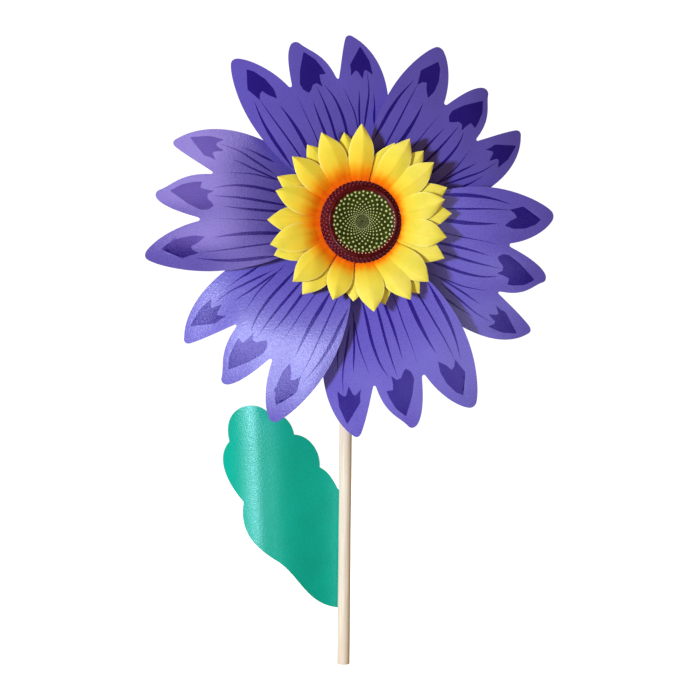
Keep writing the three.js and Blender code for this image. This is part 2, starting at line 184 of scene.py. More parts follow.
def anticlockwise(ring):
    """The closed ring of points, turned round if it runs clockwise."""
    x, y = ring[:, 0], ring[:, 1]
    area = (x * np.roll(y, -1) - y * np.roll(x, -1)).sum()
    return ring if area > 0 else ring[::-1]


def near(points, polygon, reach):
    """Whether each point is closer than the reach to one of the polygon's corners."""
    gap = np.hypot(points[:, 0][:, None] - polygon[:, 0], points[:, 1][:, None] - polygon[:, 1])
    return gap.min(1) < reach


# ---- Materials ----

class Nodes:
    """Builds one procedural material; every pattern is laid in the object's own space."""

    def __init__(self, name):
        self.material = bpy.data.materials.new(name)
        self.material.use_nodes = True
        self.tree = self.material.node_tree
        self.shader = self.tree.nodes["Principled BSDF"]
        self.space = self.add("ShaderNodeTexCoord").outputs["Object"]

    def add(self, kind, **values):
        node = self.tree.nodes.new(kind)
        for key, value in values.items():
            setattr(node, key, value)
        return node

    def link(self, source, target):
        self.tree.links.new(source, target)

    def stretched(self, scale):
        node = self.add("ShaderNodeMapping")
        node.inputs["Scale"].default_value = scale
        self.link(self.space, node.inputs["Vector"])
        return node.outputs["Vector"]

    def noise(self, scale, detail=2.0, roughness=0.5, vector=None):
        node = self.add("ShaderNodeTexNoise")
        node.inputs["Scale"].default_value = scale
        node.inputs["Detail"].default_value = detail
        node.inputs["Roughness"].default_value = roughness
        self.link(vector or self.space, node.inputs["Vector"])
        return node.outputs["Fac"]

    def cells(self, scale):
        node = self.add("ShaderNodeTexVoronoi")
        node.inputs["Scale"].default_value = scale
        self.link(self.space, node.inputs["Vector"])
        return node.outputs["Distance"]

    def ramp(self, factor, stops):
        """Colour (or grey) over the factor; stops are (position, colour or number)."""
        node = self.add("ShaderNodeValToRGB")
        ramp = node.color_ramp
        while len(ramp.elements) < len(stops):
            ramp.elements.new(0.5)
        for element, (place, value) in zip(ramp.elements, stops):
            element.position = place
            color = (value,) * 3 if np.isscalar(value) else value
            element.color = (*color, 1)
        self.link(factor, node.inputs["Fac"])
        return node.outputs["Color"]

    def mix(self, factor, a, b):
        """Colour between a and b, each a socket or a plain colour."""
        node = self.add("ShaderNodeMix", data_type="RGBA")
        for socket, value in ((node.inputs[0], factor), (node.inputs[6], a), (node.inputs[7], b)):
            if isinstance(value, bpy.types.NodeSocket):
                self.link(value, socket)
            elif socket.type == "VALUE":
                socket.default_value = value
            else:
                socket.default_value = (*value, 1)
        return node.outputs[2]

    def math(self, operation, a, b=0.0, c=0.0):
        node = self.add("ShaderNodeMath", operation=operation)
        for socket, value in zip(node.inputs, (a, b, c)):
            if isinstance(value, bpy.types.NodeSocket):
                self.link(value, socket)
            else:
                socket.default_value = value
        return node.outputs[0]

    def attribute(self, name):
        return self.add("ShaderNodeAttribute", attribute_name=name).outputs["Fac"]

    def bump(self, height, distance, strength=1.0, below=None):
        node = self.add("ShaderNodeBump")
        node.inputs["Strength"].default_value = strength
        node.inputs["Distance"].default_value = distance
        self.link(height, node.inputs["Height"])
        if below is not None:
            self.link(below, node.inputs["Normal"])
        return node.outputs["Normal"]

    def finish(self, color, roughness, normal=None, **constants):
        """Links the pattern sockets and sets the constants on the shader itself."""
        self.link(color, self.shader.inputs["Base Color"])
        if isinstance(roughness, bpy.types.NodeSocket):
            self.link(roughness, self.shader.inputs["Roughness"])
        else:
            self.shader.inputs["Roughness"].default_value = roughness
        if normal is not None:
            self.link(normal, self.shader.inputs["Normal"])
        for key, value in constants.items():
            self.shader.inputs[key.replace("_", " ")].default_value = value
        return self.material


def film(name, color, low, high, roughness, tint=(1, 1, 1)):
    """Frosted plastic film: even colour with faint clouding, and a fine grain that sparkles."""
    n = Nodes(name)
    clouds = n.noise(28, 3)
    grain = n.noise(1500, 1)
    fleck = n.noise(620, 2)
    base = n.mix(n.ramp(clouds, [(0.3, 0.0), (0.7, 1.0)]), low, color)
    base = n.mix(n.ramp(fleck, [(0.35, 0.0), (0.75, 0.35)]), base, high)
    sparkle = n.noise(1050, 1)
    rough = n.ramp(sparkle, [(0.35, roughness - 0.06), (0.65, roughness + 0.06)])
    normal = n.bump(grain, 0.00004, 0.6)
    normal = n.bump(fleck, 0.0003, 0.5, normal)
    return n.finish(base, rough, normal, Specular_IOR_Level=0.55, Specular_Tint=(*tint, 1))


def wood():
    n = Nodes("pale_birch")
    fibres = n.noise(1, 6, 0.65, n.stretched((900, 900, 22)))
    pores = n.noise(1, 3, 0.6, n.stretched((2600, 2600, 90)))
    patches = n.noise(1, 2, 0.5, n.stretched((60, 60, 9)))
    base = n.ramp(fibres, [(0.25, linear((212, 192, 168))), (0.5, linear((234, 220, 200))),
                           (0.75, linear((244, 236, 220)))])
    base = n.mix(n.ramp(patches, [(0.4, 0.0), (0.75, 0.5)]), base, linear((222, 194, 168)))
    base = n.mix(n.ramp(pores, [(0.62, 0.0), (0.75, 0.35)]), base, linear((176, 140, 100)))
    rough = n.ramp(fibres, [(0.2, 0.72), (0.8, 0.55)])
    normal = n.bump(fibres, 0.00012, 0.4)
    normal = n.bump(pores, 0.00005, 0.5, normal)
    return n.finish(base, rough, normal)


def moulded(name, color, dark, roughness, **constants):
    """Moulded plastic with a faint orange-peel skin and slight tone changes."""
    n = Nodes(name)
    tone = n.noise(70, 3)
    skin = n.noise(900, 3)
    base = n.mix(n.ramp(tone, [(0.3, 0.0), (0.75, 1.0)]), color, dark)
    rough = n.math("MULTIPLY_ADD", skin, 0.16, roughness - 0.08)
    return n.finish(base, rough, n.bump(skin, 0.00002, 0.6), **constants)


def steel():
    n = Nodes("zinc_steel")
    streaks = n.noise(1, 5, 0.6, n.stretched((2400, 300, 2400)))
    tone = n.noise(240, 3)
    light, dark = linear((188, 190, 194)), linear((150, 152, 158))
    base = n.mix(n.ramp(tone, [(0.35, 0.0), (0.7, 1.0)]), light, dark)
    rough = n.math("MULTIPLY_ADD", streaks, 0.28, 0.2)
    return n.finish(base, rough, n.bump(streaks, 0.00002, 0.5), Metallic=1.0)


def foam():
    """Airbrushed foam petal: orange-red at the root, yellow outside, with fine streaks along it; the
    orange reaches further out on the left-hand petals as painted shade.
    """
    n = Nodes("yellow_foam")
    along = n.attribute("along")
    streak = n.attribute("streak")
    shade = n.attribute("shade")
    pores = n.noise(1900, 2)
    mottle = n.noise(190, 4, 0.6)
    place = n.math("MULTIPLY_ADD", n.math("SUBTRACT", mottle, 0.5), 0.10, along)
    place = n.math("MULTIPLY_ADD", n.math("SUBTRACT", streak, 0.5), 0.07, place)
    base = n.ramp(place, [(0.03, linear((232, 64, 0))), (0.12, linear((252, 102, 0))),
                          (0.20, linear((254, 138, 8))), (0.28, linear((251, 176, 34))),
                          (0.40, linear((243, 203, 58))), (0.66, linear((238, 214, 72))),
                          (1.0, linear((236, 219, 94)))])
    lemon = n.math("MULTIPLY", n.ramp(n.noise(75, 3), [(0.42, 0.0), (0.66, 0.55)]),
                   n.ramp(along, [(0.32, 0.0), (0.55, 1.0)]))
    base = n.mix(lemon, base, linear((216, 208, 66)))
    base = n.mix(n.math("MULTIPLY", shade, 0.6), base, linear((196, 140, 16)))
    base = n.mix(n.attribute("rim"), base, linear((250, 240, 150)))
    base = n.mix(n.ramp(pores, [(0.3, 0.22), (0.7, 0.0)]), base, linear((222, 178, 40)))
    normal = n.bump(pores, 0.00004, 0.35)
    normal = n.bump(mottle, 0.0003, 0.25, normal)
    return n.finish(base, 0.62, normal, Specular_IOR_Level=0.12)


def foam_edge():
    n = Nodes("foam_cut_edge")
    pores = n.noise(2600, 2)
    base = n.mix(pores, linear((252, 238, 168)), linear((240, 214, 104)))
    return n.finish(base, 0.8, n.bump(pores, 0.00008, 0.6), Specular_IOR_Level=0.2)


def beads(name, color, dark, tip, roughness):
    """Glossy seeds with painted light: painted shade darkens them round the foot, and a painted highlight
    lightens the crown.
    """
    n = Nodes(name)
    crown = n.attribute("crown")
    tone = n.noise(420, 2)
    base = n.mix(n.ramp(tone, [(0.3, 0.0), (0.7, 0.8)]), color, dark)
    # painted shade round the foot of each seed
    base = n.mix(n.ramp(crown, [(0.15, 1.0), (0.55, 0.0)]), base, dark)
    # painted highlight on the crown of each seed
    base = n.mix(n.ramp(crown, [(0.7, 0.0), (1.0, 0.75)]), base, tip)
    skin = n.noise(2200, 2)
    rough = n.math("MULTIPLY_ADD", tone, 0.16, roughness - 0.08)
    return n.finish(base, rough, n.bump(skin, 0.000012, 0.5), Coat_Weight=0.1, Coat_Roughness=0.15)


def dome_skin(name, color, dark, pip, roughness, coat):
    """Moulded skin between the seeds, with a fine pebbled grain."""
    n = Nodes(name)
    tone = n.noise(160, 4)
    pebble = n.cells(1300)
    base = n.mix(n.ramp(tone, [(0.3, 0.0), (0.7, 1.0)]), color, dark)
    base = n.mix(n.ramp(pebble, [(0.1, 0.35), (0.5, 0.0)]), base, pip)
    return n.finish(base, roughness, n.bump(pebble, 0.00012, 0.5), Coat_Weight=coat,
                    Specular_IOR_Level=0.2 + coat)


PURPLE = film("purple_film", linear((98, 84, 180)), linear((92, 78, 174)), linear((110, 97, 190)),
              0.3, (0.88, 0.9, 1))
PURPLE_BACK = film("purple_film_back", linear((108, 94, 186)), linear((99, 85, 178)),
                   linear((124, 111, 198)), 0.5)
INK = film("indigo_ink", linear((42, 24, 124)), linear((34, 18, 112)), linear((50, 34, 132)),
           0.3, (0.62, 0.54, 1))
LEAF = film("teal_film", linear((0, 170, 144)), linear((0, 161, 133)), linear((4, 178, 154)),
            0.3, (0.58, 0.88, 1))
WOOD = wood()
STEEL = steel()
BLACK = moulded("black_plastic", linear((38, 38, 42)), linear((28, 28, 31)), 0.42)
WHITE = moulded("white_plastic", linear((232, 230, 222)), linear((216, 213, 203)), 0.42)
NYLON = moulded("natural_nylon", linear((240, 237, 222)), linear((224, 219, 198)), 0.45,
                Subsurface_Weight=0.1)
GREEN = moulded("green_plastic", linear((66, 128, 46)), linear((44, 96, 32)), 0.45)
FOAM = foam()
FOAM_EDGE = foam_edge()
# Seed colours: own colour, a darker tone that also paints the shade round the foot, and the crown's
# painted highlight.
RED_BEADS = beads("red_seeds", linear((100, 12, 18)), linear((60, 3, 12)), linear((152, 66, 70)), 0.3)
GREEN_BEADS = beads("green_seeds", linear((170, 174, 104)), linear((66, 84, 20)),
                    linear((224, 222, 162)), 0.4)
PALE_BEADS = beads("pale_seeds", linear((206, 172, 120)), linear((104, 40, 26)),
                   linear((236, 222, 176)), 0.4)
DARK_GREEN = dome_skin("seed_face", linear((54, 62, 4)), linear((34, 42, 2)), linear((86, 98, 20)),
                       0.75, 0.0)
HEART = dome_skin("seed_heart", linear((56, 60, 24)), linear((40, 44, 16)), linear((84, 88, 48)),
                  0.7, 0.0)
DARK_RED = dome_skin("seed_rim", linear((96, 12, 14)), linear((60, 4, 9)), linear((118, 34, 30)),
                     0.34, 0.12)


# ---- Wooden stick ----

def stick():
    low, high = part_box("stick")
    top, radius = high.z * 1000, (high.x - low.x) * 500
    chamfer = 0.7
    heights = [0, 0.25, chamfer, *np.arange(8, top - 4, 8), top - chamfer, top - 0.25, top]
    sides = 64
    points = []
    for y in heights:
        edge = min(y, top - y)
        inset = 0
        if edge < chamfer:
            inset = chamfer * (1 - math.sqrt(max(0, 1 - (1 - edge / chamfer) ** 2)))
        for i in range(sides):
            a = 2 * math.pi * i / sides
            wobble = 0.05 * math.sin(0.031 * y + 2 * a) + 0.04 * math.sin(0.083 * y + a)
            r = radius - 0.09 - inset + wobble
            points.append(at(r * math.cos(a), y, r * math.sin(a)))
    faces = []
    for row in range(len(heights) - 1):
        for i in range(sides):
            j = (i + 1) % sides
            a, b = row * sides, (row + 1) * sides
            faces.append([a + i, b + i, b + j, a + j])
    foot, crown = len(points), len(points) + 1
    points += [at(0, 0, 0), at(0, top, 0)]
    last = (len(heights) - 1) * sides
    for i in range(sides):
        j = (i + 1) % sides
        faces.append([foot, i, j])
        faces.append([crown, last + j, last + i])
    obj = mesh_piece("stick_wood", points, faces, [WOOD], "stand", ["stick"], sharp=50)
    bore = turned([(0, -12), (2.3, -12), (2.3, 12), (0, 12)], 32)
    cutter = new_object("bore", new_mesh("bore", *bore))
    cut = obj.modifiers.new("bore", "BOOLEAN")
    cut.operation, cut.solver, cut.object = "DIFFERENCE", "EXACT", cutter
    apply_modifiers(obj)
    bpy.data.objects.remove(cutter)


def apply_modifiers(obj):
    graph = bpy.context.evaluated_depsgraph_get()
    mesh = bpy.data.meshes.new_from_object(obj.evaluated_get(graph), depsgraph=graph)
    obj.modifiers.clear()
    obj.data = mesh


# ---- Film sheets: vanes and leaf ----

VANE_THICKNESS = 0.5
VANE_PLANE = 41.8   # how far in front of the stick the vanes are pegged, mm
VANE_BOW = 10       # how far a vane bows outwards
VANE_STEP = 16      # how far one side of a vane stands before the other, to lap over the next
TAB_RADIUS = 9
PEG_HOLE = 2.45     # radius
LEAF_THICKNESS = 0.55
LEAF_PLANE = -6.65  # the leaf lies on the back of the stick
LEAF_BELLY = 8.6
SHEET_CELL = 3.0    # spacing of the mesh points over a sheet, mm


def flat_mesh(outline, holes, prints):
    """Flat mesh over an outline: its points, its triangles, and 1 for each printed triangle."""
    cell = SHEET_CELL
    rings = [anticlockwise(np.array(ring)) for ring in (outline, *holes, *prints)]
    outline = rings[0]
    low, high = outline.min(0), outline.max(0)
    gx, gy = np.meshgrid(np.arange(low[0], high[0], cell), np.arange(low[1], high[1], cell * 0.87))
    gx = gx + (np.arange(gx.shape[0]) % 2)[:, None] * cell / 2
    grid = np.stack([gx.ravel(), gy.ravel()], 1)
    grid = grid[inside(grid, outline)]
    for ring in rings:
        side = np.roll(ring, -1, 0) - ring
        dense = np.concatenate([ring + side * t for t in (0, 0.25, 0.5, 0.75)])
        grid = grid[~near(grid, dense, 0.35 * cell)]
    points, polygons = [], []
    for ring in rings:
        polygons.append(list(range(len(points), len(points) + len(ring))))
        points += [Vector(p) for p in ring]
    points += [Vector(p) for p in grid]
    flat, _, tris, _, _, origins = delaunay_2d_cdt(points, [], polygons, 1, 1e-5, True)
    flat = np.array([tuple(p) for p in flat])
    print_start = 1 + len(holes)
    hole_ids = set(range(1, print_start))
    kept, kinds = [], []
    for tri, origin in zip(tris, origins):
        if 0 not in origin or hole_ids & set(origin):
            continue
        a, b, c = (flat[i] for i in tri)
        if (b[0] - a[0]) * (c[1] - a[1]) - (b[1] - a[1]) * (c[0] - a[0]) < 0:
            tri = tri[::-1]
        kept.append(list(tri))
        kinds.append(1 if any(o >= print_start for o in origin) else 0)
    used = sorted(set(i for tri in kept for i in tri))
    renumber = {old: new for new, old in enumerate(used)}
    return flat[used], [[renumber[i] for i in tri] for tri in kept], kinds


def sheet(name, outline, holes, prints, place, thickness, materials, body, replaces):
    """Film of even thickness over a flat outline; place(x, y) gives points on its middle surface.

    materials are the front, the print and the back and edge.
    """
    flat, tris, kinds = flat_mesh(outline, holes, prints)
    step = 0.05
    middle = place(flat[:, 0], flat[:, 1])
    dx = place(flat[:, 0] + step, flat[:, 1]) - middle
    dy = place(flat[:, 0], flat[:, 1] + step) - middle
    normal = np.cross(dx, dy)
    normal /= np.linalg.norm(normal, axis=1)[:, None]
    count = len(flat)
    half = thickness / 2
    front = middle + normal * half
    back = middle - normal * half
    faces = tris + [[i + count for i in tri[::-1]] for tri in tris]
    kinds += [2] * len(tris)
    edges = {(tri[i], tri[(i + 1) % 3]): True for tri in tris for i in range(3)}
    for a, b in edges:
        if (b, a) not in edges:
            faces.append([b, a, a + count, b + count])
            kinds.append(2)
    points = np.concatenate([front, back])
    rows = at(points[:, 0], points[:, 1], points[:, 2])
    return mesh_piece(name, rows, faces, materials, body, replaces, kinds, 50)


# Outline of one vane above its tab, in millimetres with the axle at (0, 0).
VANE_CURVES = [
    (-10, 42, -38, 50, -48, 67), (-62, 90, -74, 120, -73, 155), (-72.6, 168, -71, 178, -68.5, 184),
    (-66.5, 188.5, -62, 188.6, -58, 186.4), (-47, 181, -33, 166, -24.8, 148),
    (-24, 145.6, -21.4, 145.6, -20.9, 148.5), (-19, 162, -16, 178.6, -9.7, 186.6),
    (-6.7, 190.6, -2.2, 191.1, 0.4, 187.6), (6.5, 177, 19.4, 172, 22.6, 146),
    (22.9, 142.6, 24.8, 142.4, 25.6, 144.4), (31, 155, 38, 171, 44.5, 181),
    (47, 184.8, 50.6, 184.6, 53, 181), (63.5, 169.5, 69, 152, 68.5, 133), (68, 109, 58, 84, 49, 67),
    (38, 50, 10, 42, 9, 31),
]
# Each hand-cut vane's stretch outwards and sideways from its peg, its skew and its turn in degrees.
VANE_SEATS = [
    (-0.068, -0.009, -0.044, -0.8), (-0.049, -0.02, 0.078, 3.4), (0.03, -0.02, 0.15, 3.7),
    (0.067, 0.014, 0.016, 1.8), (0.03, -0.034, 0.007, -2.2), (-0.004, -0.045, -0.064, -4.6),
]
# Printed arrow heads, one on each lobe.
ARROWS = [
    [(-56.6, 174.7), (-62.5, 154.4), (-58.6, 147.7), (-55, 140.8), (-53, 146.8), (-50, 149.3),
     (-45.6, 143.6), (-38.6, 138.2), (-38.8, 148.5), (-43, 160), (-50.4, 170.4)],
    [(1, 178.2), (-9, 160), (-13.4, 147), (-12, 140.4), (-7.8, 136.2), (-4.8, 138.5), (-1.5, 143.2),
     (2.9, 143.8), (6.9, 138.6), (7, 146), (8, 151.6), (14.4, 150.8), (12.8, 158), (9, 168.3)],
    [(56, 170.2), (59.8, 153), (58.4, 138.6), (53.8, 144.8), (51.5, 145), (47.2, 137), (45, 145.5),
     (43, 147), (36.6, 142.6), (38.8, 147.8), (39.8, 154)],
]
# Printed stripes: greatest width, then points along the middle line from the hub outwards.
STRIPES = [
    (2.2, [(-48, 84), (-52.5, 101), (-55.9, 120.5), (-57, 143)]),
    (1.1, [(-34, 78.5), (-40.2, 100), (-47.3, 124), (-52.3, 144)]),
    (2.4, [(-24.4, 80), (-27.2, 97.5), (-31.7, 116.5), (-36.5, 131.4)]),
    (0.7, [(-13.3, 81), (-14.5, 98), (-16.7, 116), (-18.6, 137)]),
    (1.7, [(-3.5, 79), (-4.9, 95.5), (-5.9, 112.7), (-6.2, 129)]),
    (1.6, [(4, 84), (4.2, 105.5), (3.3, 123), (1.5, 142)]),
    (1.8, [(15.8, 84), (16.7, 105), (14.5, 125), (9, 141)]),
    (0.8, [(27.7, 89), (29, 105.5), (27.9, 119), (25.8, 134)]),
    (1.2, [(30.3, 93), (35, 110), (38, 119), (40.2, 127.5)]),
    (1.3, [(37.5, 97), (43, 109), (49.7, 124.5), (53.9, 144)]),
    (1.5, [(46, 95), (48, 101.5), (50.3, 108), (54, 123)]),
]


def spline(points, count):
    """Smooth curve through the points (Catmull-Rom)."""
    p = np.array(points, float)
    p = np.vstack([2 * p[0] - p[1], p, 2 * p[-1] - p[-2]])
    out = []
    for t in np.linspace(0, len(points) - 1, count):
        i = min(int(t), len(points) - 2)
        u = t - i
        a, b, c, d = p[i:i + 4]
        out.append(0.5 * (2 * b + (c - a) * u + (2 * a - 5 * b + 4 * c - d) * u * u
                          + (3 * b - a - 3 * c + d) * u ** 3))
    return np.array(out)


def stripe(width, line):
    """Outline of a brush stroke that swells near the hub and tapers out to a point."""
    first, second = np.array(line[0], float), np.array(line[1], float)
    line = [tuple(first + (first - second)), *line]
    middle = spline(line, 18)
    middle[:, 0] *= np.where(middle[:, 0] < 0, 1.06, 1)
    along = np.gradient(middle, axis=0)
    side = np.stack([-along[:, 1], along[:, 0]], 1) / np.hypot(*along.T)[:, None]
    t = np.linspace(0, 1, len(middle))
    half = 0.78 * width * np.minimum(1, 3.5 * t + 0.1) * np.minimum(1, 2.1 * (1 - t)) ** 0.8
    half = np.maximum(half, 0.02)[:, None]
    return np.vstack([middle - side * half, (middle + side * half)[::-1]])


def arrow(points):
    """Arrow head with straight sides softened a little."""
    p = np.array(points, float)
    out = []
    for i, here in enumerate(p):
        before, after = p[i - 1], p[(i + 1) % len(p)]
        out += [here + 0.12 * (before - here), here + 0.02 * (before + after - 2 * here),
                here + 0.12 * (after - here)]
    return np.array(out)


def vane_outline():
    """Rounded tab about the peg hole, then the three lobes."""
    neck = (-TAB_RADIUS, 31)
    tab = [(TAB_RADIUS, 31)]
    for a in np.linspace(0, -math.pi, 17):
        tab.append((TAB_RADIUS * math.cos(a), PEG + TAB_RADIUS * math.sin(a)))
    tab.append(neck)
    return [np.array(p, float) for p in tab] + bezier(neck, VANE_CURVES)[:-1]


def vane_height(x, y):
    """How far in front of the stick a vane lies: bowed outwards, and stepped over its neighbour."""
    radius, angle = np.hypot(x, y), np.arctan2(x, y)
    bow = VANE_BOW * (1 - ((radius - 100) / 69) ** 2)
    tilt = VANE_STEP * angle * 3 / np.pi
    return VANE_PLANE + smooth((radius - 30) / 45) * (bow - tilt)


def vanes():
    outline = vane_outline()
    hole = [(PEG_HOLE * math.cos(a), PEG + PEG_HOLE * math.sin(a))
            for a in np.linspace(0, 2 * math.pi, 17)[:-1]]
    prints = [arrow(a) for a in ARROWS] + [stripe(*s) for s in STRIPES]
    for index, (reach, spread, skew, turn) in enumerate(VANE_SEATS):
        turned_by = math.radians(turn)
        seat = math.radians(FIRST_VANE_ANGLE + 60 * index)
        phase = RANDOM.uniform(0, 6.28, 4)

        def place(x, y):
            u, v = x * (1 + spread), (y - PEG) * (1 + reach) + skew * x
            qx = u * math.cos(turned_by) + v * math.sin(turned_by)
            qy = -u * math.sin(turned_by) + v * math.cos(turned_by) + PEG
            height = vane_height(qx, qy)
            free = smooth((np.hypot(qx, qy) - 90) / 70)
            ripple = 0.5 * np.sin(qx / 13 + phase[0]) * np.sin(qy / 19 + phase[1])
            ripple = ripple + 0.35 * np.sin(qx / 7 + qy / 23 + phase[2])
            height = height + free * ripple
            fx = qx * math.cos(seat) + qy * math.sin(seat)
            fy = -qx * math.sin(seat) + qy * math.cos(seat)
            return np.stack([fx, fy + HUB, height], 1)

        sheet(f"vane_film_{index + 1}", outline, [hole], prints, place, VANE_THICKNESS,
              [PURPLE, INK, PURPLE_BACK], "wheel", [f"vane_{index + 1}"])


# The leaf's scalloped edge, in millimetres with the stick's foot at (0, 0).
LEAF_CURVES = [
    (-12, 180, -18, 186, -24.1, 188.6), (-23, 203, -34, 219.5, -50.1, 220.2),
    (-52, 232, -62, 242, -77, 242.5), (-90, 254, -120, 248, -111.4, 213.2),
    (-122, 200, -117, 178, -97.9, 155.8), (-101, 130, -92, 115, -63.7, 98.2),
    (-44, 85, -35, 57, -5.5, 53.5),
]

STAPLE_HEIGHTS = (76, 142)
STAPLE_LEG = 3.2   # distance of a staple's legs from the middle of the stick, mm


def leaf():
    """Leaf that lies on the back of the stick, bellies forwards and droops at its outer edge."""
    outline = [np.array(p, float) for p in ((5.2, 53.5), (5.2, 106), (5.2, 158), (-6, 168))]
    outline += bezier((-6, 168), LEAF_CURVES, 18)
    holes = []
    for height in STAPLE_HEIGHTS:
        for side in (-STAPLE_LEG, STAPLE_LEG):
            holes.append([(side - 0.45, height - 0.55), (side + 0.45, height - 0.55),
                          (side + 0.45, height + 0.55), (side - 0.45, height + 0.55)])

    def place(x, y):
        out = np.maximum(0, -x - 7)
        reach = out - 0.065 * (y - 150) * smooth(out / 40)
        droop = 0.0088 * np.maximum(0, reach - 70) ** 2
        height = LEAF_PLANE + LEAF_BELLY * smooth(reach / 62) - droop
        height = height + smooth(out / 30) * 0.3 * np.sin(y / 23 + x / 31)
        return np.stack([x, y, height], 1)

    sheet("leaf_film", outline, holes, [], place, LEAF_THICKNESS, [LEAF, LEAF, LEAF], "stand",
          ["leaf"])


# ---- Sunflower petals ----

# Each petal's direction, in degrees clockwise from the top, and how far its tip reaches.
FRONT_PETALS = [
    (-1, 90), (29, 89), (51, 87), (75, 80.5), (99, 81), (130, 83.5), (149, 85),
    (172, 84), (201, 78), (229, 86.5), (255, 89.5), (288, 86), (311, 88.5), (334, 90),
]
REAR_PETALS = [
    (21, 80), (42, 89), (68, 88), (82, 86.5), (113, 85.5), (141, 86), (162, 80),
    (184, 74), (219, 87.5), (247, 88), (271, 88.5), (298, 89), (325, 87), (349, 84),
]
PETAL_ROOT = 27
PETAL_ROWS, PETAL_COLUMNS = 34, 18   # mesh cells along and across a petal
FOAM_THICKNESS = 1.4
BOWL = (41, 92)   # radii between which a layer dishes, mm
# How far out the orange reaches, every 45 degrees clockwise from the top: partly the airbrushed orange
# itself, partly painted shade, so it reaches furthest on the left-hand petals and least on the right.
ORANGE_AND_SHADE_DEPTH = [1.0, 0.6, 0.36, 0.42, 0.58, 0.9, 1.12, 1.18, 1.0]
BACK_PAINT = 0.85   # the backs are plain yellow


def petal_width(t):
    """Half width over the length, from the root to the pointed tip."""
    stations = [0, 0.16, 0.34, 0.48, 0.6, 0.7, 0.8, 0.88, 0.94, 0.98, 1]
    widths = [6.5, 8.2, 10.8, 12.5, 12.8, 11.7, 9.1, 5.9, 3.2, 1.2, 0.12]
    return np.interp(t, stations, widths)


def petal_grid(angle, tip, plane, rise, fold, lift):
    """Points over one petal as (x, y, s, along, across, crease, radius), and its streaks' phase.

    The petal is creased lengthways a little to one side of its middle.
    """
    crease = RANDOM.uniform(0.05, 0.4)
    deep = fold * RANDOM.uniform(0.8, 1.25)
    lean = RANDOM.uniform(0.3, 1.0)
    curl = RANDOM.uniform(-1.6, 1.2)
    sway = RANDOM.uniform(-2.6, 2.6)
    broad = RANDOM.uniform(0.93, 1.06)
    phase = RANDOM.uniform(0, 50)
    grid = []
    for i in range(PETAL_ROWS + 1):
        t = 1 - (1 - i / PETAL_ROWS) ** 1.3
        r = PETAL_ROOT + (tip - PETAL_ROOT) * t
        half = petal_width(t) * broad
        inwards = min(1, (BOWL[1] - r) / (BOWL[1] - BOWL[0]))
        bowl = plane + rise * (1 - inwards ** 2)
        open_out = smooth((r - 40) / 20) * (1 - 0.5 * smooth((t - 0.85) / 0.15))
        ridge = crease * (0.3 + 0.7 * t)
        for j in range(PETAL_COLUMNS + 1):
            u = 2 * j / PETAL_COLUMNS - 1
            away = (u - ridge) / (1 - ridge) if u > ridge else (ridge - u) / (1 + ridge)
            roof = 1 - math.sqrt(away * away + 0.012) ** (1.0 if u > ridge else 1.35)
            z = bowl + (deep * roof - lean * u) * open_out + lift * smooth((r - 40) / 10)
            z += curl * smooth((t - 0.72) / 0.28)
            z += 0.2 * math.sin(3.1 * u + 0.19 * r + phase) * open_out
            across = half * u + sway * t * t
            x, y = polar(angle, r)
            dx, dy = polar(angle + 90, across)
            grid.append((x + dx, y + dy, z, t, u, ridge, r))
    return grid, phase


def petal_faces(start):
    """Both skins and the cut edge of the petal whose points begin at start; the edge is kind 1."""
    wide = PETAL_COLUMNS + 1
    skin = (PETAL_ROWS + 1) * wide   # points on each side of a petal
    faces, kinds = [], []
    for i in range(PETAL_ROWS):
        for j in range(PETAL_COLUMNS):
            a = start + i * wide + j
            faces.append([a, a + wide, a + 1 + wide, a + 1])
            faces.append([a + skin, a + skin + 1, a + skin + wide + 1, a + skin + wide])
            kinds += [0, 0]
    rim = [i * wide for i in range(PETAL_ROWS + 1)]
    rim += [PETAL_ROWS * wide + j for j in range(1, wide)]
    rim += [i * wide + PETAL_COLUMNS for i in range(PETAL_ROWS - 1, -1, -1)]
    rim += list(range(PETAL_COLUMNS - 1, 0, -1))
    for a, b in zip(rim, rim[1:] + rim[:1]):
        faces.append([start + a, start + a + skin, start + b + skin, start + b])
        kinds.append(1)
    return faces, kinds


def petal_layer(name, petals, plane, rise, fold, node):
    """Ring of separate foam petals, painted through the values at their points."""
    points, faces, kinds = [], [], []
    values = {"along": [], "streak": [], "shade": [], "rim": []}
    for index, (angle, tip) in enumerate(petals):
        grid, phase = petal_grid(angle, tip, plane, rise, fold, 0.4 if index % 2 else -0.1)
        # Reach of the orange on this petal: real airbrushing, deepened on the left as painted shade.
        orange_and_shade = np.interp(angle % 360, np.arange(0, 361, 45), ORANGE_AND_SHADE_DEPTH)
        new_faces, new_kinds = petal_faces(len(points))
        faces += new_faces
        kinds += new_kinds
        for side in (1, -1):
            for x, y, z, t, u, ridge, r in grid:
                half_thick = FOAM_THICKNESS / 2 * (1 - 0.35 * abs(u) ** 6)
                points.append(at(x, y + HUB, z + side * half_thick))
                values["along"].append((r - 36) / 54 / orange_and_shade if side > 0 else BACK_PAINT)
                values["streak"].append(0.5 + 0.5 * math.sin(7 * u + phase) * math.cos(3 * u + 2 * phase))
                groove = math.exp(-((u - ridge) / 0.06) ** 2) * 0.4 * (1 - 0.5 * t)
                values["shade"].append(groove * smooth(t * 3) + (0.3 if side < 0 else 0))
                rim = max(smooth((abs(u) - 0.87) / 0.12), smooth((t - 0.965) / 0.03))
                values["rim"].append(0.65 * rim * smooth((t - 0.35) / 0.25))
    layer = mesh_piece(name, points, faces, [FOAM, FOAM_EDGE], "wheel", [node], kinds, 60,
                       values)
    layer.visible_glossy = False


# ---- Seed head ----

CREST = 77.4          # how far in front of the stick the seed head's crest stands, mm
DISH = 7              # depth of its dished face
RED_SEEDS_ROUND = 56
